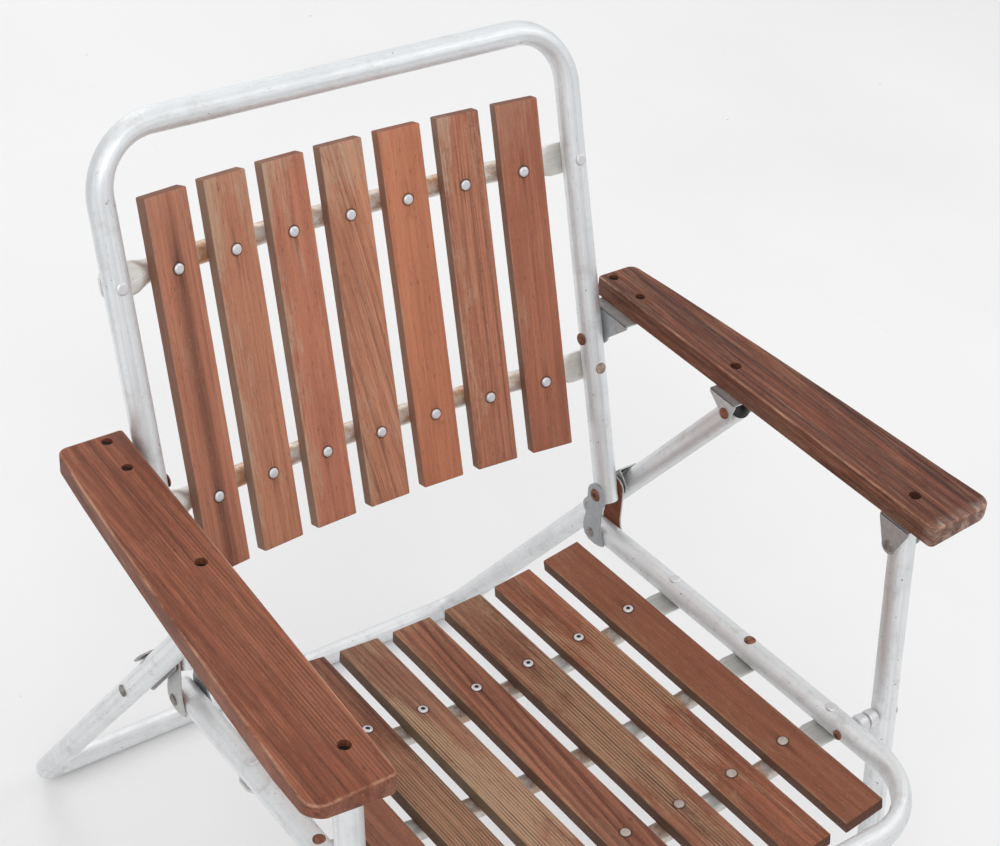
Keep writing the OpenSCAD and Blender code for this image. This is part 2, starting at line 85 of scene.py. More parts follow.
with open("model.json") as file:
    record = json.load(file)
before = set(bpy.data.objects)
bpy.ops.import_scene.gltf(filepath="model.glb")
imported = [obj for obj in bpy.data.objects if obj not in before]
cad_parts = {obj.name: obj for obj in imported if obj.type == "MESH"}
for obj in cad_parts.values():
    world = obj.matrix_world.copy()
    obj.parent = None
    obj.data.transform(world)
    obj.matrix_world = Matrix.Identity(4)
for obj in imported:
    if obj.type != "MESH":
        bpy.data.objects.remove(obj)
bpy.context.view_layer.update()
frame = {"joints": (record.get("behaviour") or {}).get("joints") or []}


# ---- The chair's frames of reference, from its hinge outwards ----


def turn(y, z, angle):
    c, s = math.cos(angle), math.sin(angle)
    return Vector((0, y * c - z * s, y * s + z * c))


def joint_place(name):
    found = next(j for j in frame["joints"] if j["name"] == name)
    return Vector(found["pos_m"])


def placed(origin, angle):
    return Matrix.Translation(origin) @ Matrix.Rotation(angle, 4, "X")


HINGE = joint_place("back_fold")
FRONT_JOINT = joint_place("front_leg_swing")
REAR_JOINT = joint_place("rear_leg_swing")
SEAT_AXIS = HINGE - turn(*BACK_PIVOT, -SEAT_SLOPE)
LEG_AXIS = SEAT_AXIS + turn(*LEG_PIVOT, -SEAT_SLOPE)
FRONT_RAKE = math.atan2(FRONT_JOINT.y - LEG_AXIS.y, FRONT_JOINT.z - LEG_AXIS.z)
REAR_RAKE = math.atan2(HINGE.y - REAR_JOINT.y, REAR_JOINT.z - HINGE.z)

SEAT = placed(SEAT_AXIS, -SEAT_SLOPE)
BACK = placed(HINGE, -RECLINE)
ARM = placed(joint_place("arm_swing") - turn(*ARM_PIVOT, -ARM_SLOPE), -ARM_SLOPE)
FRONT_LEG = placed(FRONT_JOINT, -FRONT_RAKE)
REAR_LEG = placed(REAR_JOINT, REAR_RAKE)

FRONT_DROP = (FRONT_JOINT.z - TUBE_R) / math.cos(FRONT_RAKE)
REAR_DROP = (REAR_JOINT.z - TUBE_R) / math.cos(REAR_RAKE)
HINGE_DROP = (HINGE - REAR_JOINT).length
LINK_DROP = (joint_place("link_swing") - REAR_JOINT).length
LEG_DROP = (LEG_AXIS - FRONT_JOINT).length

LIE_DOWN = Matrix.Rotation(math.radians(-90), 4, "X")
STAND_UP = Matrix.Rotation(math.radians(90), 4, "X")
UPSIDE_DOWN = Matrix.Rotation(math.radians(180), 4, "X")
RIGHT = Matrix.Identity(4)
LEFT = Matrix.Scale(-1, 4, (1, 0, 0))
SIDES = (("right", RIGHT), ("left", LEFT))
PLACES = {"seat": SEAT, "back": BACK, "arms": ARM, "front_leg": FRONT_LEG, "rear_leg": REAR_LEG}
PLACES["links"] = REAR_LEG
# Turns an outline's (x, y) into Y and Z, and its thickness into X
SIDEWAYS = Matrix(((0, 0, 1, 0), (1, 0, 0, 0), (0, 1, 0, 0), (0, 0, 0, 1)))


def shift(x=0.0, y=0.0, z=0.0):
    return Matrix.Translation((x, y, z))


def up_the_back(distance):
    """A place on the back's midline, turned so that the slats' faces look along Z."""
    return shift(z=distance) @ STAND_UP


SEAT_RAILS = {kind: shift(y=-step) for kind, step in SEAT_STEPS.items()}
BACK_RAILS = {kind: up_the_back(step) for kind, step in BACK_STEPS.items()}


def along_x(x, y, z, outward=1):
    return shift(x, y, z) @ Matrix.Rotation(outward * math.pi / 2, 4, "Y")


def mm(pairs):
    """Pairs of millimetres as metres."""
    return [(a * MM, b * MM) for a, b in pairs]


# ---- Shader graphs ----


def linear(r, g, b, share=1.0):
    """A share of a colour given in 0-255 as it looks on a screen."""
    out = [c * share / 255 for c in (r, g, b)]
    return tuple(c / 12.92 if c < 0.04045 else ((c + 0.055) / 1.055) ** 2.4 for c in out) + (1,)


class Graph:
    """A material's node tree with short calls for the nodes used here, and the colour laid so far."""

    def __init__(self, name):
        self.material = bpy.data.materials.new(name)
        self.material.use_nodes = True
        self.tree = self.material.node_tree
        self.tree.nodes.clear()
        out = self.tree.nodes.new("ShaderNodeOutputMaterial")
        self.shader = self.tree.nodes.new("ShaderNodeBsdfPrincipled")
        self.tree.links.new(self.shader.outputs[0], out.inputs[0])
        self.coords = self.tree.nodes.new("ShaderNodeTexCoord")
        self.colour = None

    def give(self, socket, value):
        if isinstance(value, bpy.types.NodeSocket):
            self.tree.links.new(value, socket)
        else:
            socket.default_value = value

    def node(self, kind, **inputs):
        made = self.tree.nodes.new(kind)
        for key, value in inputs.items():
            self.give(made.inputs[key], value)
        return made

    def set(self, **inputs):
        for key, value in inputs.items():
            self.give(self.shader.inputs[key.replace("_", " ")], value)

    def stretched(self, scale=(1, 1, 1), place=(0, 0, 0), source="Object"):
        vector = self.coords.outputs[source]
        return self.node("ShaderNodeMapping", Vector=vector, Scale=scale, Location=place).outputs[0]

    def noise(self, vector, scale, detail=4.0, rough=0.55, distort=0.0):
        look = {"Scale": scale, "Detail": detail, "Roughness": rough, "Distortion": distort}
        return self.node("ShaderNodeTexNoise", Vector=vector, **look).outputs["Fac"]

    def math(self, operation, a, b=0.5):
        made = self.tree.nodes.new("ShaderNodeMath")
        made.operation = operation
        self.give(made.inputs[0], a)
        self.give(made.inputs[1], b)
        return made.outputs[0]

    def add(self, a, b):
        return self.math("ADD", a, b)

    def times(self, a, b):
        return self.math("MULTIPLY", a, b)

    def absolute(self, a):
        return self.math("ABSOLUTE", a)

    def span(self, value, low, high, to_low=0.0, to_high=1.0):
        """Maps low..high to to_low..to_high and goes no further."""
        ends = {"From Min": low, "From Max": high, "To Min": to_low, "To Max": to_high}
        return self.node("ShaderNodeMapRange", Value=value, **ends).outputs[0]

    def mix(self, factor, a, b):
        made = self.tree.nodes.new("ShaderNodeMix")
        made.data_type = "RGBA"
        self.give(made.inputs[0], factor)
        self.give(made.inputs[6], a)
        self.give(made.inputs[7], b)
        return made.outputs[2]

    def lay(self, factor, tint):
        """Mixes a tint over the colour laid so far."""
        self.colour = self.mix(factor, self.colour, tint)

    def bump(self, height, strength, distance):
        return self.node("ShaderNodeBump", Height=height, Strength=strength, Distance=distance).outputs[0]

    def parts(self, source):
        return self.node("ShaderNodeSeparateXYZ", Vector=self.coords.outputs[source]).outputs


def aluminium(name, tint=(247, 250, 252), stain=(176, 168, 156), spread=0.3, rough=0.26, bands=0.4, scale=1.0,
              reach=0.54, within=0.0):
    """Satin drawn tube: bands and fine streaks along its length, partly drawing marks and partly painted
    reflection, dull patches, scratches and dark marks.

    spread is how strong the stain is, and reach how far: a lower value stains more of it. The stain keeps to
    where X is less than within, if that is given; there, on the rails, it is partly stain and partly the
    slats' reflection painted on.
    """
    g = Graph(name)
    lanes = g.noise(g.stretched((0.35, 95, 1), (0, 3, 0), "UV"), 2.6, 3.0, 0.5, 0.4)
    streaks = g.noise(g.stretched((2.0, 190, 1), source="UV"), 9.0, 6.0, 0.75)
    patches = g.noise(g.stretched(), 18.0, 7.0, 0.68)
    grime = g.noise(g.stretched(place=(3, 1, 2)), 36.0 * scale, 8.0, 0.78)
    marks = g.noise(g.stretched(place=(7, 2, 5)), 200.0, 3.0, 0.6)
    scratches = g.noise(g.stretched((30, 460, 1), (2, 9, 0), "UV"), 3.0, 2.0, 0.5, 1.2)
    grey = linear(*tint, 0.8)
    # Painted reflection, partly drawing marks: lanes and streaks darken bands along the tube's length,
    # standing in for the surroundings reflected in it.
    g.colour = g.mix(g.span(lanes, 0.4, 0.62, 0.0, bands), linear(*tint), grey)
    g.lay(g.span(streaks, 0.4, 0.66, 0.0, 0.3), grey)
    g.lay(g.span(patches, 0.5, 0.66, 0.0, 0.2), grey)
    # Where within is given, on the rails, this brown is partly real stain and partly the slats' reflection
    # painted on.
    stain_and_reflection = g.span(grime, reach, reach + 0.16, 0.0, spread)
    if within:
        stain_and_reflection = g.times(stain_and_reflection, g.span(g.absolute(g.parts("Object")[0]), within + 8 * MM, within - 4 * MM))
    g.lay(stain_and_reflection, linear(*stain))
    g.lay(g.span(scratches, 0.66, 0.72, 0.0, 0.45), linear(150, 150, 152))
    g.lay(g.span(marks, 0.69, 0.73, 0.0, 0.65), linear(104, 96, 88))
    dull = g.add(g.span(patches, 0.35, 0.7, 0.0, 0.2), g.span(lanes, 0.35, 0.65, 0.0, 0.16))
    dull = g.add(dull, g.span(scratches, 0.66, 0.74, 0.0, 0.15))
    height = g.add(g.times(scratches, 0.5), g.times(patches, 2.4))
    height = g.add(height, g.times(streaks, 0.3))
    g.set(Base_Color=g.colour, Metallic=0.78, Roughness=g.add(dull, rough))
    g.set(Normal=g.bump(height, 0.35, 0.0016))
    return g.material


def steel(name, tint=(206, 206, 204), rust=0.3, rust_tint=(150, 92, 62), rusty_inside=False):
    """Dull zinc-coated sheet with rusty patches. rusty_inside browns the faces towards the chair's middle."""
    g = Graph(name)
    spangle = g.noise(g.stretched(), 210.0, 5.0, 0.7)
    patches = g.noise(g.stretched(place=(4, 4, 1)), 70.0, 7.0, 0.75)
    worn = g.span(patches, 0.72 - rust * 0.3, 0.78 - rust * 0.28, 0.0, 0.9)
    if rusty_inside:
        facing = g.parts("Normal")[0]
        inward = g.span(g.times(facing, g.math("SIGN", g.parts("Object")[0])), -0.3, -0.7)
        worn = g.math("MAXIMUM", worn, inward)
    g.colour = g.mix(g.span(spangle, 0.3, 0.7), linear(*tint), linear(*tint, 0.88))
    g.lay(worn, g.mix(g.span(spangle, 0.4, 0.7), linear(*rust_tint), linear(*rust_tint, 0.72)))
    g.set(Base_Color=g.colour, Metallic=g.span(worn, 0.0, 1.0, 0.7, 0.05))
    g.set(Roughness=g.span(worn, 0.0, 1.0, 0.4, 0.8))
    g.set(Normal=g.bump(g.add(patches, g.times(spangle, 0.4)), 0.3, 0.0008))
    return g.material


def rusty(name, light=(142, 92, 70), dark=(74, 44, 34), rough=0.75):
    g = Graph(name)
    patches = g.noise(g.stretched(), 190.0, 6.0, 0.7)
    g.set(Base_Color=g.mix(g.span(patches, 0.36, 0.66), linear(*dark), linear(*light)))
    g.set(Metallic=0.25, Roughness=rough, Normal=g.bump(patches, 0.5, 0.0006))
    return g.material


def plastic(name):
    g = Graph(name)
    g.set(Base_Color=linear(26, 26, 27), Roughness=g.span(g.noise(g.stretched(), 90.0), 0.3, 0.7, 0.35, 0.6))
    return g.material


# A board's looks, unless it is given others. They are strengths, except for lean, the grain's angle in
# degrees, stripe, a dark stripe's (middle, half width, strength), tip, the place along Y from which the far
# end is worn pale, and pale, the colour of bare wood. ends weathers the end at Y = 0, rim chips the edges
# marked by the first UV coordinate, sides is painted shade that darkens the side faces and ridges bares the
# raised grain.
WOOD = {
    "grain": 0.5, "bands": 0.4, "arches": 0.0, "grey": 0.3, "wear": 0.4, "speckle": 0.3, "ends": 0.5,
    "rim": 0.0, "sides": 0.42, "ridges": 0.0, "rough": 0.62, "lean": 0.0, "stripe": None, "tip": None,
    "pale": (186, 158, 134),
}


class WoodGraph(Graph):
    """The patterns that a board's layers share, with the grain along Y."""

    def __init__(self, name, look, seed):
        super().__init__(name)
        self.pale = linear(*look["pale"])
        turn_and_move = {
            "Rotation": (0, 0, math.radians(look["lean"])),
            "Location": (seed * 0.37, seed * 1.13, seed * 0.71),
        }
        turned = self.node("ShaderNodeMapping", Vector=self.coords.outputs["Object"], **turn_and_move)
        self.turned = turned.outputs[0]
        self.fine = self.noise(self.drawn(0.03), 520.0, 5.0, 0.75, 0.4)
        self.broad = self.noise(self.drawn(0.05), 70.0, 4.0, 0.6, 0.9)
        self.speck = self.noise(self.drawn(0.5), 780.0, 3.0, 0.75)
        self.pores = self.noise(self.drawn(0.16), 640.0, 3.0, 0.7)
        self.blotch = self.noise(self.drawn(0.35), 13.0, 5.0, 0.66)
        self.patches = self.noise(self.drawn(0.22), 42.0, 8.0, 0.78, 0.6)
        self.x, self.y, _ = self.parts("Object")

    def drawn(self, scale):
        """Coordinates drawn out along the grain: a lower scale makes longer streaks."""
        return self.node("ShaderNodeMapping", Vector=self.turned, Scale=(1, scale, 1)).outputs[0]

    def wave(self, scale, distortion, detail):
        look = {"Scale": scale, "Distortion": distortion, "Detail": detail}
        return self.node("ShaderNodeTexWave", Vector=self.drawn(0.05), **look).outputs["Fac"]


def draw_grain(g, look, dark):
    lines = g.noise(g.drawn(0.012), 260.0, 3.0, 0.6, 0.6)
    g.lay(g.span(g.broad, 0.36, 0.66, 0.0, look["bands"]), linear(*dark))
    if look["arches"]:
        g.lay(g.span(g.wave(30.0, 6.5, 3.0), 0.25, 0.95, 0.0, look["arches"]), linear(*dark))
    g.lay(g.span(lines, 0.5, 0.62, 0.0, look["grain"]), linear(*dark))
    g.lay(g.span(g.fine, 0.42, 0.7, 0.0, look["grain"] * 0.7), linear(*dark, 0.8))
    g.lay(g.span(g.fine, 0.5, 0.3, 0.0, look["grain"] * 0.4), g.pale)


def raise_ridges(g, strength):
    """Bares the raised grain in patches, more of them away from the end at Y = 0."""
    bare = g.add(g.times(g.blotch, 0.55), g.times(g.patches, 0.45))
    bare = g.add(bare, g.span(g.y, -20 * MM, -200 * MM, -0.07, 0.03))
    bare = g.span(bare, 0.49, 0.56, 0.0, strength)
    g.lay(g.times(g.span(g.wave(108.0, 2.2, 2.0), 0.35, 0.75), bare), g.pale)


def draw_stripe(g, dark, middle, width, strength):
    off = g.math("SUBTRACT", g.add(g.x, g.times(g.broad, 4 * MM)), middle)
    inside = g.span(g.absolute(off), width * 1.5, width * 0.3, 0.0, strength)
    g.lay(g.times(inside, g.span(g.y, -10 * MM, -55 * MM)), linear(*dark, 0.72))


def weather(g, look, dark, half):
    """Pale patches, specks and dark pores, and bare wood along the edges."""
    end = g.span(g.y, -70 * MM, 0.0, 0.0, look["ends"] * 0.22)
    side = g.span(g.x, -half * 0.2, -half, 0.0, look["wear"] * 0.2)
    weathered = g.span(g.add(g.patches, g.add(end, side)), 0.56, 0.7, 0.0, look["grey"])
    g.lay(g.times(weathered, g.span(g.fine, 0.35, 0.6, 1.0, 0.45)), g.pale)
    g.lay(g.span(g.speck, 0.58, 0.72, 0.0, look["speckle"]), g.pale)
    g.lay(g.span(g.pores, 0.6, 0.7, 0.0, 0.5), linear(*dark, 0.55))
    ragged = g.add(g.absolute(g.x), g.times(g.math("SUBTRACT", g.patches, 0.5), half * 0.3))
    g.lay(g.span(ragged, half * 0.93, half, 0.0, look["wear"]), g.pale)


def wear_tip(g, tip):
    near = g.span(g.add(g.y, g.times(g.speck, 12 * MM)), tip + 8 * MM, tip)
    g.lay(g.times(near, g.span(g.patches, 0.48, 0.6, 0.1, 0.8)), linear(186, 168, 156))


def paint_rivet_shadow_and_smear(g, dark, place):
    """A ring of painted shadow round a rivet, and a smear along the grain from it."""
    near = g.math("SUBTRACT", g.y, place)
    away = g.math("SQRT", g.add(g.math("POWER", g.x, 2.0), g.math("POWER", near, 2.0)))
    # Painted contact shadow: a dark ring on the wood round the rivet's head.
    g.lay(g.span(away, 6.4 * MM, 4.8 * MM, 0.0, 0.85), linear(44, 28, 24))
    smear = g.times(g.span(g.absolute(near), 26 * MM, 4 * MM), g.span(g.fine, 0.42, 0.6))
    smear = g.times(smear, g.span(g.absolute(g.x), 5 * MM, 1 * MM, 0.0, 0.5))
    g.lay(smear, linear(*dark, 0.5))


def wood(name, base, dark, light, seed, half, rivets=(), **looks):
    """Stained board. half is half its width, rivets are its rivets' places along Y, looks are as in WOOD."""
    look = {**WOOD, **looks}
    g = WoodGraph(name, look, seed)
    g.colour = g.mix(g.span(g.blotch, 0.3, 0.66), linear(*base), linear(*light))
    draw_grain(g, look, dark)
    if look["ridges"]:
        raise_ridges(g, look["ridges"])
    if look["stripe"]:
        draw_stripe(g, dark, *look["stripe"])
    weather(g, look, dark, half)
    if look["tip"]:
        wear_tip(g, look["tip"])
    if look["rim"]:
        chips = g.span(g.patches, 0.44, 0.6, 0.1, look["rim"])
        g.lay(g.times(g.parts("UV")[0], chips), linear(186, 140, 114))
    for place in rivets:
        paint_rivet_shadow_and_smear(g, dark, place)
    # Painted shade: faces turned away from up, the boards' sides, are darkened by the sides strength.
    g.lay(g.span(g.parts("Normal")[2], 0.2, 0.8, look["sides"], 0.0), linear(*dark, 0.7))
    height = g.add(g.fine, g.add(g.times(g.pores, 0.6), g.times(g.patches, 0.8)))
    g.set(Roughness=g.span(g.blotch, 0.3, 0.7, look["rough"] - 0.05, look["rough"] + 0.1))
    g.set(Base_Color=g.colour, Normal=g.bump(height, 0.55, 0.0009), Specular_IOR_Level=0.22)
    return g.material


def floor_finish():
    """Pale painted floor with a soft cloudiness, fine scuffs and a few specks."""
    g = Graph("studio_floor")
    cloud = g.noise(g.stretched(), 1.6, 4.0, 0.5)
    scuffs = g.noise(g.stretched((1, 0.12, 1), (3, 0, 0)), 22.0, 6.0, 0.75, 1.5)
    specks = g.noise(g.stretched(place=(1, 5, 0)), 95.0, 2.0, 0.4)
    g.colour = g.mix(g.span(cloud, 0.3, 0.7), linear(238, 238, 238), linear(233, 233, 234))
    g.lay(g.span(scuffs, 0.64, 0.78, 0.0, 0.3), linear(214, 213, 211))
    g.lay(g.span(specks, 0.8, 0.83, 0.0, 0.6), linear(120, 112, 104))
    g.set(Base_Color=g.colour, Roughness=0.7)
    return g.material


MATS = {
    "tube": aluminium("tube_metal"),
    "leg": aluminium("leg_metal", (240, 242, 243), (160, 152, 142), 0.4, 0.34, 0.22),
    "rail": aluminium("seat_rail_metal", (226, 226, 222), (184, 140, 104), 0.8,
                      scale=0.6, reach=0.46, within=STAIN_AND_REFLECTION_W),
    "gold": aluminium("back_rail_metal", (250, 248, 242), (210, 154, 102), 0.9, 0.22, 0.2,
                      scale=0.55, reach=0.44, within=STAIN_AND_REFLECTION_W),
    "worn": aluminium("worn_rivet_metal", (206, 194, 184), (134, 104, 84), 0.6, 0.34),
    "rivet": aluminium("rivet_metal", (242, 242, 244), (150, 140, 130), 0.35, 0.26),
    "steel": steel("bracket_steel", (204, 206, 207), 0.1),
    "plate": steel("hinge_plate_steel", (172, 174, 176), 0.2),
    "hinge": steel("hinge_steel", (196, 196, 194), 0.3, (140, 80, 54), True),
    "link": steel("link_steel", (182, 182, 180), 0.4),
    "rust": rusty("rust_brown", (156, 104, 78), (92, 54, 40)),
    "dull": rusty("rivet_dull", (190, 172, 158), (120, 88, 70), 0.5),
    "grey": rusty("rivet_grey", (162, 158, 152), (88, 74, 62), 0.45),
    # Painted shade: the colour of the dark discs set in the rivets' hollows.
    "pit": rusty("pit_painted_shade", (62, 54, 50), (34, 30, 28), 0.7),
    "screw": rusty("screw_dark", (44, 31, 27), (20, 15, 13), 0.8),
    "plastic": plastic("plug_black"),
}


# ---- Mesh building ----


def shape(name, verts, faces, material, uvs=None):
    """A mesh object with smooth shading, except over edges sharper than CREASE."""
    mesh = bpy.data.meshes.new(name)
    mesh.from_pydata([tuple(v) for v in verts], [], faces)
    mesh.polygons.foreach_set("use_smooth", [True] * len(mesh.polygons))
    mesh.set_sharp_from_angle(angle=CREASE)
    if uvs:
        layer = mesh.uv_layers.new(name="UVMap")
        for loop in mesh.loops:
            layer.data[loop.index].uv = uvs[loop.vertex_index]
    mesh.materials.append(material)
    mesh.update()
    made = bpy.data.objects.new(name, mesh)
    bpy.context.scene.collection.objects.link(made)
    return made


class Soup:
    """Collects several shapes into one piece."""

    def __init__(self):
        self.verts, self.faces, self.uvs = [], [], []

    def add(self, verts, faces, place=RIGHT, uvs=None):
        start = len(self.verts)
        flip = place.determinant() < 0
        self.verts += [place @ Vector(v) for v in verts]
        self.uvs += uvs if uvs else [(0.0, 0.0)] * len(verts)
        for f in faces:
            shifted = [start + i for i in f]
            self.faces.append(shifted[::-1] if flip else shifted)
        return self

    def settle(self, name, material, body, slot, node, place=None):
        """Makes the piece in its frame, on its body, in place of its CAD node."""
        piece = shape(name, self.verts, self.faces, material, self.uvs)
        piece.matrix_world = place or PLACES[body]
        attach(piece, body)
        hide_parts(node)


def rings(loops, close_start=True, close_end=True):
    """Faces that join equal loops of points, with the ends closed."""
    n = len(loops[0])
    verts = [p for loop in loops for p in loop]
    faces = []
    for k in range(len(loops) - 1):
        for i in range(n):
            a, b = k * n + i, k * n + (i + 1) % n
            faces.append((a, b, b + n, a + n))
    if close_start:
        faces.append(tuple(range(n))[::-1])
    if close_end:
        faces.append(tuple((len(loops) - 1) * n + i for i in range(n)))
    return verts, faces


def arc(x, y, r, start, end, count=8):
    """Points on an arc, angles in degrees."""
    steps = [math.radians(start + (end - start) * i / count) for i in range(count + 1)]
    return [(x + r * math.cos(a), y + r * math.sin(a)) for a in steps]


def lathe(profile, n=28):
    """Turns (radius, z) pairs about Z, from the outside bottom up to the middle."""
    loops = [[(x, y, z) for x, y in arc(0, 0, r, 0, 360, n)[:-1]] for r, z in profile]
    return rings(loops, close_start=False)


def u_path(width, top, drop, bend, step=6 * MM, turns=26):
    """Points (x, z, tangent angle, share of the bend) down the left side, across and up the right side."""
    half = width / 2
    side = top + drop - bend
    count = round(side / step)
    down = [(-half, top - side * i / count, -90.0, 0.0) for i in range(count + 1)]
    corner = []
    for i in range(1, turns):
        a = math.radians(90 * i / turns)
        x, z = -half + bend - bend * math.cos(a), -drop + bend - bend * math.sin(a)
        corner.append((x, z, 90 * i / turns - 90, math.sin(math.pi * i / turns)))
    flat = half - bend
    count = round(flat / step)
    across = [(-flat + flat * i / count, -drop, 0.0, 0.0) for i in range(count + 1)]
    left = down + corner + across
    right = [(-x, z, -angle, share) for x, z, angle, share in reversed(left[:-1])]
    return left + right


def heading(angle):
    return Vector((math.cos(math.radians(angle)), 0, math.sin(math.radians(angle))))


def tube_end(middle, rim, along, wall=1.4 * MM, depth=30 * MM):
    """The loops of an open end: its rim, the wall's inner edge and the bore, as deep as it is seen into."""
    inner = [middle + (p - middle) * (1 - wall / TUBE_R) for p in rim]
    return [rim, inner, [p + along * depth for p in inner]]


def tube(path, section, n=40):
    """Sweeps a section along a path in XZ. section(share, length, angle) gives the radii of a point."""
    loops, uvs = [], []
    length = 0.0
    for k, (x, z, angle, share) in enumerate(path):
        if k:
            length += math.hypot(x - path[k - 1][0], z - path[k - 1][1])
        along = heading(angle)
        inward = Vector((-along.z, 0, along.x))
        loop = []
        for i in range(n):
            a = 2 * math.pi * i / n
            flat, deep = section(share, length, a)
            loop.append(Vector((x, 0, z)) + inward * flat * math.cos(a) + Vector((0, deep * math.sin(a), 0)))
            uvs.append((length, TUBE_R * min(a, 2 * math.pi - a)))
        loops.append(loop)
    soup = Soup().add(*rings(loops, False, False), uvs=uvs)
    start, end = (Vector((x, 0, z)) for x, z, _, _ in (path[0], path[-1]))
    soup.add(*rings(tube_end(start, loops[0], heading(path[0][2]))[::-1], True, False))
    return soup.add(*rings(tube_end(end, loops[-1], -heading(path[-1][2])), False, True))


def outward(outline, i):
    """The outward normal at an outline's corner, longer where the corner is sharp."""
    before, corner, after = (Vector(outline[(i + k) % len(outline)]) for k in (-1, 0, 1))
    into, out = (corner - before).normalized(), (after - corner).normalized()
    across = Vector((into.y, -into.x))
    normal = Vector((into.y + out.y, -into.x - out.x))
    normal = normal.normalized() if normal.length > 1e-9 else across
    return normal / max(0.35, normal.dot(across))


def lid(verts, loops, facing_up):
    """Triangles that fill the first of several loops of vertices, around the others."""
    faces = []
    indices = [i for loop in loops for i in loop]
    for corners in tessellate_polygon([[Vector(verts[i]) for i in loop] for loop in loops]):
        a, b, c = (indices[i] for i in corners)
        va, vb, vc = (Vector(verts[i]) for i in (a, b, c))
        up = (vb - va).cross(vc - va).z > 0
        faces.append((a, b, c) if up == facing_up else (a, c, b))
    return faces


def slab(outline, holes, low, high, edge=0.4 * MM, steps=2, count=20):
    """A plate with this outline in XY from z = low to high, rounded edges and round holes (x, y, radius)."""
    area = sum(a[0] * b[1] - b[0] * a[1] for a, b in zip(outline, outline[1:] + outline[:1]))
    outline = outline if area > 0 else outline[::-1]
    n = len(outline)
    normals = [outward(outline, i) for i in range(n)]

    def ring(inset, z):
        return [(p[0] - m.x * inset, p[1] - m.y * inset, z) for p, m in zip(outline, normals)]

    turns = [math.pi / 2 * i / steps for i in range(steps + 1)]
    bend = [(edge * (1 - math.sin(t)), edge * (1 - math.cos(t))) for t in turns]
    loops = [ring(edge * 1.6, low)] + [ring(inset, low + up) for inset, up in bend]
    loops += [ring(inset, high - up) for inset, up in reversed(bend)] + [ring(edge * 1.6, high)]
    verts, faces = rings(loops, False, False)
    bottoms, tops = [list(range(n))], [list(range(len(verts) - n, len(verts)))]
    for x, y, r in holes:
        base = len(verts)
        circle = arc(x, y, r, 0, 360, count)[:-1]
        verts += [(a, b, low) for a, b in circle] + [(a, b, high) for a, b in circle]
        bottoms.append(list(range(base, base + count)))
        tops.append(list(range(base + count, base + 2 * count)))
        for i in range(count):
            j = (i + 1) % count
            faces.append((base + j, base + i, base + count + i, base + count + j))
    faces += lid(verts, bottoms, False) + lid(verts, tops, True)
    return verts, faces


def rim_marks(total, n):
    """UVs for an arm's slab of n outline points: 1 along its rounded edges and 0 elsewhere."""
    share = [0.0, 0.2] + [1.0] * (ARM_EDGE_STEPS - 1) + [0.2]
    levels = share + share[::-1]
    return [(levels[i // n], 0.0) if i < n * len(levels) else (0.0, 0.0) for i in range(total)]


# ---- Tubes ----


def uneven(length, angle, seed):
    """A little waviness, so that no tube is quite straight or round."""
    return noise.noise(Vector((length * 9, math.cos(angle) * 0.6 + seed, math.sin(angle) * 0.6))) * 0.12 * MM


def bent_section(pinch, bulge, seed, dent=0.0, toward=0.0):
    """Radii of a bent tube: flatter in the plane of its bends by pinch, deeper across it by bulge.

    dent is how far the inside of each bend is crushed, on the side so many degrees round from the middle.
    """

    def radii(share, length, angle):
        press = max(0.0, math.cos(angle - math.radians(toward))) ** 3 * min(1.0, max(0.0, share - 0.15) * 3)
        hollow = dent * press * (0.6 + 0.4 * abs(math.sin(share * 9 + seed)))
        rough = uneven(length, angle, seed) - hollow
        return TUBE_R - pinch * share + rough, TUBE_R + bulge * share + rough

    return radii


def build_tubes():
    """The U paths hang from their open ends: the seat's is laid down forward and the back's stood up."""
    crushed = {"dent": 5.5 * MM, "toward": -40}
    seat = bent_section(1.9 * MM, 0.8 * MM, 1.0, 2.0 * MM)
    back = bent_section(1.4 * MM, 0.6 * MM, 3.0)
    front = bent_section(1.2 * MM, 0.4 * MM, 5.0, **crushed)
    rear = bent_section(1.2 * MM, 0.4 * MM, 7.0, **crushed)
    for body, path, metal, section, place in (
        ("seat", u_path(2 * HALF_W, 11 * MM, 456 * MM, 74 * MM), "leg", seat, SEAT @ LIE_DOWN),
        ("back", u_path(2 * HALF_W, 9 * MM, 450 * MM, 54 * MM), "tube", back, BACK @ UPSIDE_DOWN),
        ("front_leg", u_path(FRONT_W, FRONT_TOP, FRONT_DROP, 24 * MM), "leg", front, FRONT_LEG),
        ("rear_leg", u_path(REAR_W, REAR_TOP, REAR_DROP, 24 * MM), "leg", rear, REAR_LEG),
    ):
        soup = tube(path, section)
        soup.settle(f"{body}_tube", MATS[metal], body, "aluminium_tube", f"{body}_frame", place)


def bow_at(x):
    return BOW * (1 - (x / HALF_W) ** 2)


def rail_section(x, tip_l, n=32):
    """A bowed rail's loop of points at x: round, then pressed flat under the side tubes."""
    flat = min(1.0, max(0.0, (abs(x) - 188 * MM) / (20 * MM)))
    flat = flat * flat * (3 - 2 * flat)
    z = (1 - flat) * (-RAIL_SEAT - bow_at(x)) + flat * (-RAIL_SEAT - GAP)
    wide = RAIL_R + (14.5 * MM - RAIL_R) * flat
    thick = RAIL_R + (1.6 * MM - RAIL_R) * flat
    tip = max(0.0, abs(x) - HALF_W) / tip_l
    wide *= math.sqrt(max(0.04, 1 - 0.75 * tip ** 3))
    power = 1 - 0.45 * flat
    turns = [2 * math.pi * i / n for i in range(n)]
    loop = []
    for c, s in ((math.cos(a), math.sin(a)) for a in turns):
        y = wide * math.copysign(abs(c) ** power, c)
        loop.append((x, y, z + thick * math.copysign(abs(s) ** power, s)))
    return loop, [(x, RAIL_R * min(a, 2 * math.pi - a)) for a in turns]


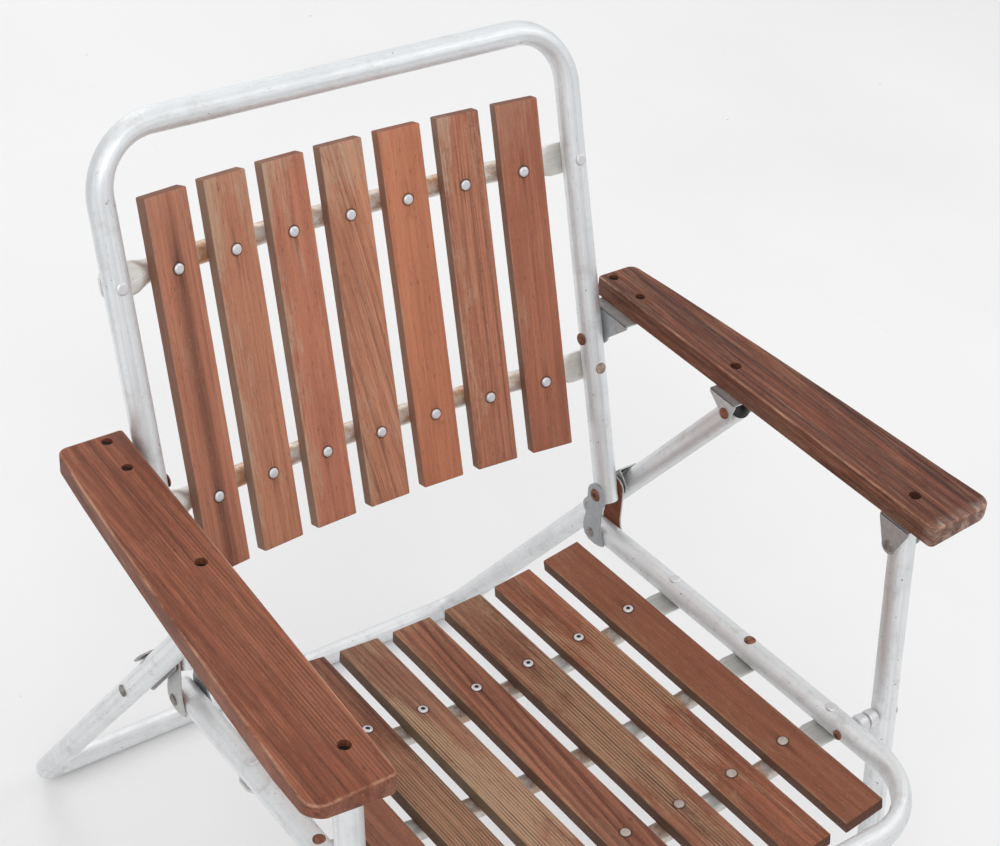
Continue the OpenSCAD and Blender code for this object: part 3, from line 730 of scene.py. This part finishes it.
def cross_rail(steps=120):
    """A bowed tube from one side tube to the other."""
    tip_l = 9 * MM
    reach = HALF_W + tip_l
    loops, uvs = [], []
    for k in range(steps + 1):
        loop, marks = rail_section(-reach + 2 * reach * k / steps, tip_l)
        loops.append(loop)
        uvs += marks
    verts, faces = rings(loops)
    return Soup().add(verts, [f[::-1] for f in faces], uvs=uvs)


def build_rails():
    for body, metal, rails in (("seat", MATS["rail"], SEAT_RAILS), ("back", MATS["gold"], BACK_RAILS)):
        for kind, spot in rails.items():
            cross_rail().settle(f"{body}_bow_{kind}", metal, body, "aluminium_rail", f"{body}_rail_{kind}",
                                PLACES[body] @ spot)


# ---- Wood ----


def board(length, seed, edge=1.1 * MM, steps=44):
    """A slat with its top towards +Z: rounded edges and a very slight warp."""
    section = []
    for sx, sz, start in ((1, 1, 0), (-1, 1, 90), (-1, -1, 180), (1, -1, 270)):
        section += arc(sx * (SLAT_W / 2 - edge), sz * (SLAT_T / 2 - edge), edge, start, start + 90, 3)
    near_end = [0, 0.15, 0.5, 1.0]
    stations = near_end + [1.0 + (length / edge - 2) * k / steps for k in range(1, steps)]
    stations += [length / edge - s for s in reversed(near_end)]
    loops = []
    for along in (s * edge for s in stations):
        near = min(along, length - along)
        inset = edge - math.sqrt(max(0.0, edge ** 2 - (edge - min(near, edge)) ** 2))
        warp = noise.noise(Vector((along * 5, seed * 3.1, 0))) * 0.35 * MM
        loop = []
        for x, z in section:
            chip = noise.noise(Vector((x * 400 + seed, along * 60, z * 300))) * 0.18 * MM
            fx = (abs(x) - inset - abs(chip)) / abs(x)
            fz = (abs(z) - inset) / abs(z)
            loop.append((x * fx + warp, -along, z * fz + SLAT_T / 2))
        loops.append(loop)
    return rings(loops)


def on_rails(index, place):
    """The frame of a slat that lies on the bowed rails."""
    x = (index - (SLATS + 1) / 2) * PITCH
    tilt = math.atan(2 * BOW * x / HALF_W ** 2)
    return place @ shift(x, 0, -RAIL_SEAT - bow_at(x)) @ Matrix.Rotation(-tilt, 4, "Y")


def slat_woods(kind, tones, seed, rivets, **looks):
    """A material for each slat, from its base, dark and light colours and its own looks."""
    return [
        wood(f"{kind}_wood_{i}", base, dark, light, seed + i, SLAT_W / 2, rivets, **{**looks, **own})
        for i, (base, dark, light, own) in enumerate(tones, start=1)
    ]


def back_woods():
    rivets = [step - BACK_SLAT_TOP for step in BACK_STEPS.values()]
    tones = [
        ((182, 119, 94), (118, 74, 62), (192, 128, 101),
         dict(stripe=(3 * MM, 6 * MM, 0.6), bands=0.25, grey=0.4, grain=0.35)),
        ((188, 126, 98), (142, 88, 70), (198, 136, 106), dict(grey=0.8, wear=0.8, speckle=0.45, grain=0.45)),
        ((188, 120, 94), (138, 82, 66), (198, 130, 102), dict(grey=0.85, wear=0.8, speckle=0.35, grain=0.35)),
        ((194, 128, 99), (122, 72, 57), (208, 146, 114),
         dict(lean=-9.0, grain=0.6, bands=0.3, grey=0.7, arches=0.15, speckle=0.4)),
        ((190, 120, 90), (146, 86, 66), (200, 130, 98), dict(grey=0.45, grain=0.3, bands=0.3, ends=0.3)),
        ((180, 114, 88), (116, 70, 56), (192, 128, 100), dict(grey=0.95, grain=0.55, wear=0.5, speckle=0.55)),
        ((170, 106, 82), (118, 70, 56), (178, 114, 88), dict(grey=0.3, grain=0.3, bands=0.35, ends=0.8)),
    ]
    return slat_woods("back", tones, 0.0, rivets, sides=0.55)


def seat_woods():
    rivets = [SEAT_SLAT_START - SEAT_STEPS[kind] for kind in ("rear", "front")]
    tones = [
        ((144, 92, 72), (92, 54, 42), (156, 104, 82), dict(grain=0.4, grey=0.15, ends=0.2)),
        ((140, 85, 63), (76, 45, 36), (162, 108, 84),
         dict(grain=0.8, bands=0.5, grey=0.2, arches=0.3, ridges=0.5)),
        ((152, 98, 76), (84, 52, 42), (176, 130, 106), dict(grain=0.7, bands=0.4, grey=0.6, ridges=1.0)),
        ((156, 95, 72), (92, 51, 40), (168, 112, 88), dict(grain=0.5, grey=0.4, arches=0.6, lean=4.0)),
        ((142, 85, 63), (86, 51, 39), (160, 108, 84),
         dict(grain=0.7, bands=0.5, grey=0.3, speckle=0.5, ridges=0.6)),
        ((148, 87, 63), (94, 53, 40), (162, 100, 74),
         dict(grain=0.6, grey=0.4, speckle=0.4, ends=0.2, ridges=0.6)),
        ((134, 80, 58), (100, 58, 44), (142, 88, 66), dict(grain=0.3, grey=0.25, bands=0.3, ends=0.3)),
    ]
    return slat_woods("seat", tones, 10.0, rivets, sides=0.7, pale=(174, 148, 118))


def build_slats():
    """Seven slats on the seat and seven on the back. The seeds keep the two sets different."""
    for kind, woods, length, place, seed in (
        ("seat", seat_woods(), SEAT_SLAT_L, SEAT @ shift(y=-SEAT_SLAT_START), 0),
        ("back", back_woods(), BACK_SLAT_L, BACK @ up_the_back(BACK_SLAT_TOP), 20),
    ):
        for i, stain in enumerate(woods, start=1):
            spot = on_rails(i, place) @ shift(z=RAIL_R + GAP)
            slat = Soup().add(*board(length, seed + i))
            slat.settle(f"{kind}_board_{i}", stain, kind, "redwood_slat", f"{kind}_slat_{i}", spot)


def screw_x(along):
    """The line of an arm's screws, which drifts outwards as the arm does."""
    return 257.5 * MM + 0.037 * along


def arm_outline(in_rear, w_rear):
    """An arm seen from above, in mm: a taper with a slightly full outer edge and rounded corners."""
    front, rear = -424, 11
    in_front, out_front, out_rear = 253.5, 322.5, in_rear + w_rear
    full = [(k / 8, 2.2 * math.sin(math.pi * k / 8)) for k in range(1, 8)]
    outer = [(out_rear + (out_front - out_rear) * u + swell, rear - (rear - front) * u) for u, swell in full]
    outline = arc(out_rear - 9, rear - 9, 9, 90, 0) + outer + arc(out_front - 14, front + 14, 14, 0, -90)
    return outline + arc(in_front + 5, front + 5, 5, -90, -180, 5) + arc(in_rear + 3, rear - 3, 3, 180, 90, 4)


def lifted(point):
    """Thins an arm from below towards its outer front corner."""
    x, y, z = point
    near = min(1.0, max(0.0, (x - 285 * MM) / (38 * MM))) * min(1.0, max(0.0, (-y - 385 * MM) / (36 * MM)))
    return x, y, z + near * 9 * MM if z < -ARM_T / 2 else z


def arm_wood(name):
    base, dark, light, seed, looks = {
        "right": ((130, 71, 51), (56, 32, 27), (140, 81, 58), 31.0,
                  dict(grain=0.7, bands=0.7, arches=0.3, tip=-414 * MM)),
        "left": ((139, 77, 54), (84, 45, 33), (149, 87, 63), 37.0,
                 dict(grain=0.6, bands=0.45, arches=0.25, ridges=0.22, pale=(184, 128, 100))),
    }[name]
    return wood(f"arm_wood_{name}", base, dark, light, seed, 1.0, grey=0.12, wear=0.0, speckle=0.15, ends=0.2,
                rough=0.5, rim=0.9, sides=0.08, **looks)


def build_arms():
    """Each arm is a board with rounded edges and four sunk screw holes. They differ at their rear ends."""
    rears = {"right": (246.5, 43), "left": (239.5, 58)}
    holes = [(screw_x(along), -along, r) for along, r in SCREWS]
    for name, mirror in SIDES:
        outline = mm(arm_outline(*rears[name]))
        verts, faces = slab(outline, holes, -ARM_T, 0.0, 1.8 * MM, ARM_EDGE_STEPS)
        marks = rim_marks(len(verts), len(outline))
        arm = Soup().add([lifted(v) for v in verts], faces, mirror, marks)
        arm.settle(f"arm_board_{name}", arm_wood(name), "arms", "redwood_arm", f"arm_{name}")


# ---- Fasteners ----


def head(radius, height, crown=0.62, sink=0.0, tube_hole=0.0):
    """A rivet head from its rim to its middle, which is sunk a little or is the end of a tubular rivet."""
    profile = [(radius, -0.2 * MM), (radius, height * 0.25)]
    for i in range(1, 7):
        a = math.pi / 2 * i / 6
        profile.append((radius * (crown + (1 - crown) * math.cos(a)), height * (0.25 + 0.75 * math.sin(a))))
    if tube_hole:
        profile += [(tube_hole * r, height * z) for r, z in ((1, 0.9), (0.9, 0.2), (0.1, 0.1))]
    else:
        profile += [(radius * crown * 0.5, height - sink * 0.5), (radius * 0.05, height - sink)]
    return lathe(profile)


def shank(soup, place, radius, low, high):
    soup.add(*lathe([(radius, low), (radius, high), (radius * 0.05, high)], 20), place)


def pit(soup, place, radius, low, high):
    """A dark disc of painted shade in the hollow in the middle of a rivet's head."""
    soup.add(*lathe([(radius, low), (radius, high), (0.1 * MM, high)], 16), place)


def rivets_x(ends, y, z, radius, headed):
    """A rivet along X on each side of the chair, with a head on each of its ends that is to have one."""
    soup = Soup()
    for _, mirror in SIDES:
        shank(soup, mirror @ along_x(ends[0], y, z), 3 * MM, 0, ends[1] - ends[0])
        for x, outwards, wanted in zip(ends, (-1, 1), headed):
            if wanted:
                soup.add(*head(radius, 1.6 * MM, 0.55, 0.35 * MM), mirror @ along_x(x, y, z, outwards))
    return soup


def slat_rivets(rows, height, hole=0.0):
    """A rivet through each slat and rail of each row, with its lower head under the rail."""
    soup = Soup()
    top = RAIL_R + SLAT_T + GAP
    for row in rows:
        for i in range(1, SLATS + 1):
            spot = on_rails(i, row)
            soup.add(*head(4.6 * MM, height, 0.45, 0.0, hole), spot @ shift(z=top))
            soup.add(*head(4.4 * MM, 1.6 * MM), spot @ shift(z=-RAIL_R) @ UPSIDE_DOWN)
            shank(soup, spot, 2.4 * MM, -RAIL_R, top)
    return soup


def rail_rivets(row):
    """A rivet through each side tube and the rail end under it."""
    soup = Soup()
    low = -RAIL_SEAT - 1.7 * MM
    for x in (HALF_W, -HALF_W):
        spot = row @ shift(x)
        soup.add(*head(5.4 * MM, 1.8 * MM, 0.5), spot @ shift(z=TUBE_R - 0.6 * MM))
        soup.add(*head(6 * MM, 1.6 * MM), spot @ shift(z=low) @ UPSIDE_DOWN)
        shank(soup, spot, 2.7 * MM, low, TUBE_R)
    return soup


def build_slat_rivets():
    """Tubular rivets in the seat's rear rail, plain ones in the others."""
    for name, metal, rows, body, node, sizes in (
        ("seat_rear", "rivet", [SEAT_RAILS["rear"]], "seat", "seat_rivets_rear", (1.4 * MM, 2 * MM)),
        ("seat_front", "worn", [SEAT_RAILS["front"]], "seat", "seat_rivets_front", (1.6 * MM,)),
        ("back", "rivet", BACK_RAILS.values(), "back", "back_rivets", (2 * MM,)),
    ):
        slat_rivets(rows, *sizes).settle(f"{name}_slat_rivets", MATS[metal], body, "aluminium_rivet", node)


def build_rail_rivets():
    metals = {"rear": "rivet", "middle": "rust", "front": "rivet", "lower": "dull", "upper": "rivet"}
    for body, slot, rails in (("seat", "rusty_steel", SEAT_RAILS), ("back", "aluminium_rivet", BACK_RAILS)):
        for kind, row in rails.items():
            name = f"{body}_rail_heads_{kind}"
            rail_rivets(row).settle(name, MATS[metals[kind]], body, slot, f"{body}_rail_rivets")


def build_pivots():
    """The rivets along X: the back's and the hinge plates', the clevises', the legs' and the links'."""
    both, inner, outer = (True, True), (True, False), (False, True)
    for name, metal, body, node, ends, at, radius, headed in (
        ("hinge", "grey", "seat", "hinge_rivets", HINGE_X, (0, 0), 5.4, both),
        ("back_pivot", "rust", "seat", "back_pivots", HINGE_X, BACK_PIVOT, 6.6, inner),
        ("arm_pivot", "rust", "arms", "arm_pivots", ARM_PIVOT_X, ARM_PIVOT, 5.8, both),
        ("rear_clevis", "rust", "arms", "rear_leg_pivots", REAR_CLEVIS_X, REAR_CLEVIS, 5.4, both),
        ("front_clevis", "grey", "arms", "front_leg_pivots", FRONT_CLEVIS_X, FRONT_CLEVIS, 5.4, both),
        ("front_leg", "rivet", "front_leg", "front_leg_rivets", LEG_X, (0, -LEG_DROP), 6, outer),
        ("link_leg", "grey", "rear_leg", "link_rivets", LINK_LEG_X, (0, -LINK_DROP), 5.6, both),
        ("link_hinge", "dull", "links", "link_heads", LINK_X, (0, -HINGE_DROP), 5.6, outer),
        ("leg_pivot", "rust", "seat", "leg_spacers", LEG_PIVOT_X, LEG_PIVOT, 4.6, inner),
    ):
        soup = rivets_x(ends, *at, radius * MM, headed)
        if name == "link_leg":
            washer = lathe(mm([(3.5, 0), (7, 0), (7, 3.2), (3, 3.2)]))
            for _, mirror in SIDES:
                soup.add(*washer, mirror @ along_x(242.1 * MM, *at))
        slot = "galvanised_steel" if metal == "rivet" else "rusty_steel"
        soup.settle(f"{name}_heads", MATS[metal], body, slot, node)


def build_pit_shades():
    """Dark discs of painted shade in the hollows of the back's pivots, the front legs' pivots and the tubular
    rivets.
    """
    pits = Soup()
    for _, mirror in SIDES:
        pit(pits, mirror @ along_x(HINGE_X[0], *BACK_PIVOT, -1), 2.3 * MM, 0, 1.7 * MM)
        pit(pits, mirror @ along_x(LEG_PIVOT_X[0], *LEG_PIVOT, -1), 1.8 * MM, 0, 1.7 * MM)
    for i in range(1, SLATS + 1):
        spot = on_rails(i, SEAT_RAILS["rear"]) @ shift(z=RAIL_R + SLAT_T + 1.2 * MM)
        pit(pits, spot, 1.7 * MM, -0.5 * MM, 0.35 * MM)
    pits.settle("rivet_pit_shades", MATS["pit"], "seat", "rusty_steel", "seat_rivets_rear")


def build_spacers():
    """Two rings on each front leg's pivot, between the seat tube and the leg."""
    soup = Soup()
    ring = mm([(3.5, 0), (6.6, 0), (7.7, 0.7), (8.3, 2.4), (8.4, 5.2), (8.2, 8.0), (7.4, 9.6), (4.6, 10.0)])
    both = ring + [(r, SPACER_L - x) for r, x in reversed(ring)]
    for _, mirror in SIDES:
        soup.add(*lathe(both), mirror @ along_x(SEAT_TUBE_OUT, *LEG_PIVOT))
    soup.settle("leg_spacer_rings", MATS["rivet"], "seat", "galvanised_steel", "leg_spacers")


def build_screws():
    """The arms' screws: a sunk head, and the other head under the bracket below it."""
    soup = Soup()
    for _, mirror in SIDES:
        for along, r in SCREWS:
            sink = 3.2 * MM if r < 5 * MM else 6.0 * MM
            spot = mirror @ shift(screw_x(along), -along)
            rim, top = r - 0.3 * MM, -sink + 0.5 * MM
            soup.add(*lathe([(rim, -sink - 1.4 * MM), (rim, -sink), (3 * MM, top), (0.2 * MM, top)]), spot)
            shank(soup, spot, 2.1 * MM, -ARM_T - 3.3 * MM, -sink)
            soup.add(*head(3.6 * MM, 1.6 * MM), spot @ shift(z=-ARM_T - SHEET - GAP) @ UPSIDE_DOWN)
    soup.settle("arm_screw_heads", MATS["screw"], "arms", "rusty_steel", "arm_screws")


# ---- Sheet steel ----


def upright_plate(soup, mirror, x, outline, thick=SHEET):
    """A plate across X at x, from an outline in Y and Z."""
    soup.add(*slab(outline, [], 0, thick, 0.35 * MM), mirror @ shift(x) @ SIDEWAYS)


def hinge_outline(flare):
    """Rounded top about the back's rivet, straight sides, and a foot that spreads round the seat tube."""
    top = arc(-3.5, 46, 11.5, 10, 170, 12)
    front = [(-14.6, 34), (-13.8, 14), (-15.0, 7), (-18.6 - flare, -0.5), (-20.4 - flare, -4.4)]
    foot = [(-19.6 - flare, -5.8), (-14.0, -8.4), (-7.0, -9.4), (1.5, -9.0), (8.0, -5.6)]
    rear = [(11.0, 0), (11.2, 8), (9.6, 15), (8.2, 21), (7.9, 34)]
    return mm(top + front + foot + rear)


def build_hinges():
    for name, mirror in SIDES:
        for node, x, flare, metal in (("inner", 211.8, 1.0, "plate"), ("outer", 236.4, 0.0, "hinge")):
            soup = Soup()
            upright_plate(soup, mirror, x * MM, hinge_outline(flare))
            soup.settle(f"hinge_{node}_plate_{name}", MATS[metal], "seat", "galvanised_steel",
                        f"hinge_{node}_{name}")


def cheek(pivot, rear, front, r):
    """A bracket's side: wide under the arm, from rear to front, and round about its pivot."""
    top = -ARM_T - GAP
    low = arc(*pivot, r, 0, -180, 14)
    return [(rear, top), (rear, top - 4 * MM)] + low + [(front, top - 4 * MM), (front, top)]


def arm_angle(mirror):
    """The bracket at an arm's rear end: a cheek on the back's tube and a shelf under the arm."""
    soup = Soup()
    inside, top = 236.9 * MM, -ARM_T - GAP
    upright_plate(soup, mirror, inside, cheek(ARM_PIVOT, 3 * MM, -48 * MM, 10 * MM))
    shelf = mm([(236.9, -48), (263, -48), (267, -44), (267, -1), (263, 3), (236.9, 3)])
    return soup.add(*slab(shelf, [], top - SHEET, top, 0.3 * MM), mirror)


def clevis(mirror, x, pivot, front, rear, overhang):
    """Two cheeks that straddle a leg's top at x, joined under the arm from front to rear."""
    soup = Soup()
    top = -ARM_T - GAP
    inside, outside = x - 11.4 * MM - SHEET - overhang, x + 11.4 * MM
    for place in (inside, outside):
        upright_plate(soup, mirror, place, cheek(pivot, rear, front, 8 * MM))
    corners = [(inside, front), (outside + SHEET, front), (outside + SHEET, rear), (inside, rear)]
    return soup.add(*slab(corners, [], top - SHEET, top, 0.3 * MM), mirror)


def build_brackets():
    for side, mirror in SIDES:
        for name, node, soup in (
            ("arm_angle", "arm_bracket", arm_angle(mirror)),
            ("rear_clevis_sheet", "rear_clevis",
             clevis(mirror, REAR_W / 2, REAR_CLEVIS, -193.6 * MM, -160.6 * MM, 0)),
            ("front_clevis_sheet", "front_clevis",
             clevis(mirror, FRONT_W / 2, FRONT_CLEVIS, -400.7 * MM, -367.7 * MM, 3.4 * MM)),
        ):
            soup.settle(f"{name}_{side}", MATS["steel"], "arms", "galvanised_steel", f"{node}_{side}")


def build_links():
    """A strip from the hinge to the rear leg, with a tongue bent over the leg at the hinge end."""
    hinge, leg, x = -HINGE_DROP / MM, -LINK_DROP / MM, LINK_X[0] / MM
    web = [(11.8, hinge - 11), (13.0, hinge - 9), (13.0, hinge + 13), (2, hinge + 13)]
    web += arc(0, hinge + 3, 9, 100, 180, 6) + arc(0, leg, 9.6, 180, 350, 12)
    tongue = [(x, hinge - 11), (262, hinge - 11)] + arc(261, hinge - 5, 6, -90, 0, 5)
    tongue += arc(255.5, hinge + 1.5, 11.5, 0, 90, 8) + [(x, hinge + 13)]
    over_leg = Matrix(((1, 0, 0, 0), (0, 0, 1, 11.7 * MM), (0, 1, 0, 0), (0, 0, 0, 1)))
    for name, mirror in SIDES:
        soup = Soup()
        upright_plate(soup, mirror, LINK_X[0], mm(web), LINK_SHEET)
        soup.add(*slab(mm(tongue), [], 0, LINK_SHEET, 0.3 * MM), mirror @ over_leg)
        soup.settle(f"link_strip_{name}", MATS["link"], "links", "galvanised_steel", f"link_{name}")


def plug_profile(low, reach):
    """A plug's dome, of radius reach about the leg's pivot, from just inside the tube's mouth at low."""
    mouth = 11.0 * MM
    start = math.degrees(math.acos(mouth / reach))
    dome = [(max(0.2 * MM, r), z) for r, z in arc(0, 0, reach, start, 90, 8)[1:]]
    return [(9.6 * MM, low - 2 * MM), (mouth, low)] + dome


def build_plugs():
    """Domed black plugs in the leg tops."""
    for leg, width, low, reach in (("front", FRONT_W, FRONT_TOP, 16), ("rear", REAR_W, REAR_TOP, 12.6)):
        soup = Soup()
        for x in (width / 2, -width / 2):
            soup.add(*lathe(plug_profile(low, reach * MM)), shift(x))
        soup.settle(f"{leg}_plug_caps", MATS["plastic"], f"{leg}_leg", "black_plastic", f"{leg}_leg_plugs")


# ---- Studio ----


def build_floor():
    half = 9.0
    verts = [(-half, -half, 0), (half, -half, 0), (half, half, 0), (-half, half, 0)]
    shape("studio_ground", verts, [(0, 1, 2, 3)], floor_finish())


def build_world():
    """Light from all round, weaker from below."""
    world = bpy.data.worlds.new("studio")
    world.use_nodes = True
    bpy.context.scene.world = world
    tree = world.node_tree
    tree.nodes.clear()
    out, back, coords, split, ramp = (
        tree.nodes.new(f"ShaderNode{kind}")
        for kind in ("OutputWorld", "Background", "TexCoord", "SeparateXYZ", "ValToRGB")
    )
    tree.links.new(coords.outputs["Generated"], split.inputs[0])
    tree.links.new(split.outputs["Z"], ramp.inputs[0])
    tree.links.new(ramp.outputs[0], back.inputs[0])
    tree.links.new(back.outputs[0], out.inputs[0])
    low, high = ramp.color_ramp.elements
    low.position, low.color = 0.0, (0.74, 0.74, 0.75, 1)
    high.position, high.color = 0.75, (1, 1, 1, 1)
    back.inputs["Strength"].default_value = 0.85


def build_lights():
    for name, place, size, power in (
        ("key", (-1.6, -1.8, 3.0), 1.9, 30.0),
        ("fill", (2.4, -0.6, 2.6), 1.6, 14.0),
        ("rear", (0.2, 2.6, 2.4), 1.8, 15.0),
    ):
        data = bpy.data.lights.new(name, "AREA")
        data.size, data.energy = size, power
        lamp = bpy.data.objects.new(name, data)
        lamp.location = place
        aim = Vector((0, 0, 0.35)) - Vector(place)
        lamp.rotation_mode = "QUATERNION"
        lamp.rotation_quaternion = aim.to_track_quat("-Z", "Y")
        bpy.context.scene.collection.objects.link(lamp)


def build_camera():
    """The camera stands to the front left of the chair, above it, and is rolled a little."""
    azimuth, height, roll = (math.radians(a) for a in (-40.82, 39.16, 8.39))
    flat = math.cos(height)
    away = Vector((math.sin(azimuth) * flat, -math.cos(azimuth) * flat, math.sin(height)))
    level = (-away).cross(Vector((0, 0, 1))).normalized()
    upward = level.cross(-away)
    right = level * math.cos(roll) + upward * math.sin(roll)
    up = upward * math.cos(roll) - level * math.sin(roll)
    data = bpy.data.cameras.new("camera")
    data.sensor_width, data.lens = 36.0, 71.717
    data.shift_x, data.shift_y = -0.0263, 0.0244
    camera = bpy.data.objects.new("camera", data)
    turned = Matrix((right, up, away)).transposed().to_4x4()
    camera.matrix_world = shift(-0.7948, HINGE.y - 1.0554, 1.6213) @ turned
    bpy.context.scene.collection.objects.link(camera)
    bpy.context.scene.camera = camera
    bpy.context.scene.view_settings.view_transform = "Standard"


# ---- The scene ----

build_tubes()
build_rails()
build_slats()
build_arms()
build_slat_rivets()
build_rail_rivets()
build_pivots()
build_pit_shades()
build_spacers()
build_screws()
build_hinges()
build_brackets()
build_links()
build_plugs()
build_floor()
build_world()
build_lights()
build_camera()
